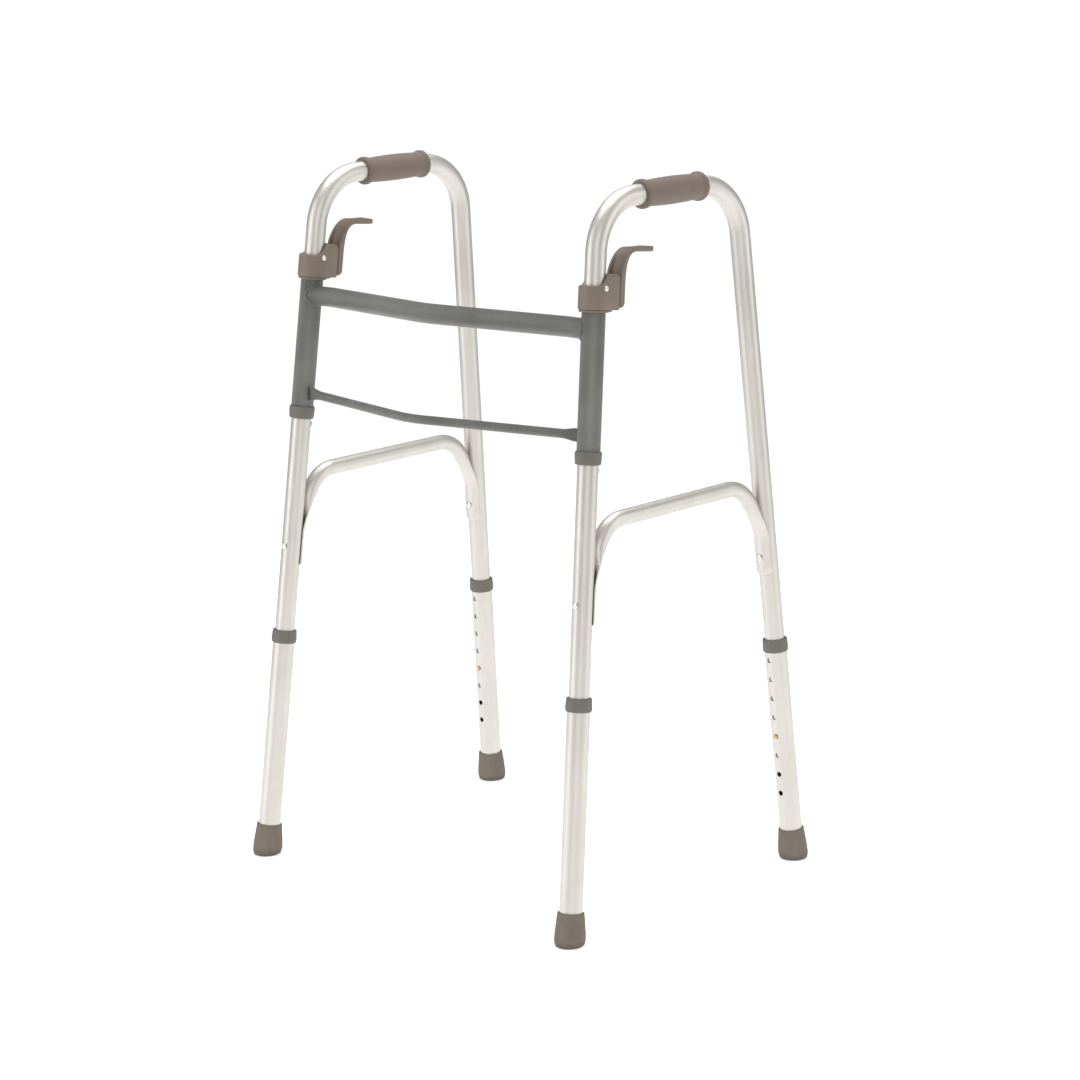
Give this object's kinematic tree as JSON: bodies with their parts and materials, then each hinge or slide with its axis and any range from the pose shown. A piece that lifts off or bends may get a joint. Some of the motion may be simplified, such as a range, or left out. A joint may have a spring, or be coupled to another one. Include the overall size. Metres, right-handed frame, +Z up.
{
  "type": "folding walking frame",
  "caption": "Folding aluminium walking frame with grips, braced side frames, steel crossbars, squeeze release levers, telescopic legs and rubber tips.",
  "frame": {"origin": "on the floor, midway between the four rubber tips", "axes": "+Z up, the crossbars on the -Y side, the user stands on the +Y side, +X to the right as seen looking along +Y"},
  "size_m": [0.5882, 0.4588, 0.8988],
  "materials": {
    "anodised_aluminium": "satin, clear anodised drawn tube with faint lengthwise drawing lines",
    "grey_hammer_paint": "grey hammertone powder paint, semi-matt, on steel tube",
    "taupe_plastic": "warm grey-brown moulded plastic, low sheen",
    "grip_vinyl": "warm grey-brown soft vinyl, matt",
    "grey_plastic": "mid grey moulded plastic, low sheen",
    "rubber_tip": "warm grey-brown rubber, matt",
    "plated_steel": "bright zinc plate",
    "brassy_button": "yellow passivated steel button"
  },
  "bodies": {
    "crossbar_frame": {"left_post": "grey_hammer_paint", "right_post": "grey_hammer_paint", "upper_crossbar": "grey_hammer_paint", "lower_crossbar": "grey_hammer_paint", "left_post_top_bushing": "taupe_plastic", "left_post_bottom_collar": "grey_plastic", "right_post_top_bushing": "taupe_plastic", "right_post_bottom_collar": "grey_plastic"},
    "left_side_frame": {"left_side_tube": "anodised_aluminium", "left_handgrip": "grip_vinyl", "left_side_brace": "anodised_aluminium", "left_brace_front_rivet": "plated_steel", "left_brace_rear_rivet": "plated_steel", "left_post_stop_rivet": "plated_steel", "left_release_housing": "taupe_plastic", "left_housing_rivet": "plated_steel", "left_lever_spring": "plated_steel", "left_front_button_spring": "plated_steel", "left_rear_button_spring": "plated_steel"},
    "left_release_lever": {"left_release_lever": "taupe_plastic"},
    "left_front_leg": {"left_front_leg_extension": "anodised_aluminium", "left_front_leg_collar": "grey_plastic", "left_front_foot_tip": "rubber_tip", "left_front_foot_washer": "plated_steel"},
    "left_front_button": {"left_front_snap_button": "brassy_button"},
    "left_rear_leg": {"left_rear_leg_extension": "anodised_aluminium", "left_rear_leg_collar": "grey_plastic", "left_rear_foot_tip": "rubber_tip", "left_rear_foot_washer": "plated_steel"},
    "left_rear_button": {"left_rear_snap_button": "brassy_button"},
    "right_side_frame": {"right_side_tube": "anodised_aluminium", "right_handgrip": "grip_vinyl", "right_side_brace": "anodised_aluminium", "right_brace_front_rivet": "plated_steel", "right_brace_rear_rivet": "plated_steel", "right_post_stop_rivet": "plated_steel", "right_release_housing": "taupe_plastic", "right_housing_rivet": "plated_steel", "right_lever_spring": "plated_steel", "right_front_button_spring": "plated_steel", "right_rear_button_spring": "plated_steel"},
    "right_release_lever": {"right_release_lever": "taupe_plastic"},
    "right_front_leg": {"right_front_leg_extension": "anodised_aluminium", "right_front_leg_collar": "grey_plastic", "right_front_foot_tip": "rubber_tip", "right_front_foot_washer": "plated_steel"},
    "right_front_button": {"right_front_snap_button": "brassy_button"},
    "right_rear_leg": {"right_rear_leg_extension": "anodised_aluminium", "right_rear_leg_collar": "grey_plastic", "right_rear_foot_tip": "rubber_tip", "right_rear_foot_washer": "plated_steel"},
    "right_rear_button": {"right_rear_snap_button": "brassy_button"}
  },
  "joints": [
    {"name": "left_fold", "type": "hinge", "parent": "crossbar_frame", "child": "left_side_frame", "pos_m": [-0.25054, -0.12048, 0.65848], "axis": [-0.0366, -0.1348, -0.9902], "range_deg": [0, 91]},
    {"name": "left_lever_squeeze", "type": "hinge", "parent": "left_side_frame", "child": "left_release_lever", "pos_m": [-0.24599, -0.08157, 0.78128], "axis": [0.9993, 0, -0.037], "range_deg": [0, 14], "stiffness_Nm_per_rad": 0.3, "springref_deg": -17.19, "deforming": ["left_lever_spring"]},
    {"name": "left_front_leg_height", "type": "slide", "parent": "left_side_frame", "child": "left_front_leg", "axis": [-0.0366, -0.1348, -0.9902], "range_m": [-0.0762, 0.1016], "deforming": ["left_front_snap_button", "left_front_button_spring"]},
    {"name": "left_front_button_press", "type": "slide", "parent": "left_side_frame", "child": "left_front_button", "axis": [0.005, -0.9909, 0.1347], "range_m": [0, 0.004], "stiffness_N_per_m": 3000, "springref_m": -0.001, "deforming": ["left_front_button_spring"]},
    {"name": "left_rear_leg_height", "type": "slide", "parent": "left_side_frame", "child": "left_rear_leg", "axis": [-0.0369, 0.0609, -0.9975], "range_m": [-0.0762, 0.1016], "deforming": ["left_rear_snap_button", "left_rear_button_spring"]},
    {"name": "left_rear_button_press", "type": "slide", "parent": "left_side_frame", "child": "left_rear_button", "axis": [0.0023, 0.9981, 0.0608], "range_m": [0, 0.004], "stiffness_N_per_m": 3000, "springref_m": -0.001, "deforming": ["left_rear_button_spring"]},
    {"name": "right_fold", "type": "hinge", "parent": "crossbar_frame", "child": "right_side_frame", "pos_m": [0.25054, -0.12048, 0.65848], "axis": [-0.0366, 0.1348, 0.9902], "range_deg": [0, 84]},
    {"name": "right_lever_squeeze", "type": "hinge", "parent": "right_side_frame", "child": "right_release_lever", "pos_m": [0.24599, -0.08157, 0.78128], "axis": [0.9993, 0, 0.037], "range_deg": [0, 14], "stiffness_Nm_per_rad": 0.3, "springref_deg": -17.19, "deforming": ["right_lever_spring"]},
    {"name": "right_front_leg_height", "type": "slide", "parent": "right_side_frame", "child": "right_front_leg", "axis": [0.0366, -0.1348, -0.9902], "range_m": [-0.0762, 0.1016], "deforming": ["right_front_snap_button", "right_front_button_spring"]},
    {"name": "right_front_button_press", "type": "slide", "parent": "right_side_frame", "child": "right_front_button", "axis": [-0.005, -0.9909, 0.1347], "range_m": [0, 0.004], "stiffness_N_per_m": 3000, "springref_m": -0.001, "deforming": ["right_front_button_spring"]},
    {"name": "right_rear_leg_height", "type": "slide", "parent": "right_side_frame", "child": "right_rear_leg", "axis": [0.0369, 0.0609, -0.9975], "range_m": [-0.0762, 0.1016], "deforming": ["right_rear_snap_button", "right_rear_button_spring"]},
    {"name": "right_rear_button_press", "type": "slide", "parent": "right_side_frame", "child": "right_rear_button", "axis": [-0.0023, 0.9981, 0.0608], "range_m": [0, 0.004], "stiffness_N_per_m": 3000, "springref_m": -0.001, "deforming": ["right_rear_button_spring"]}
  ]
}
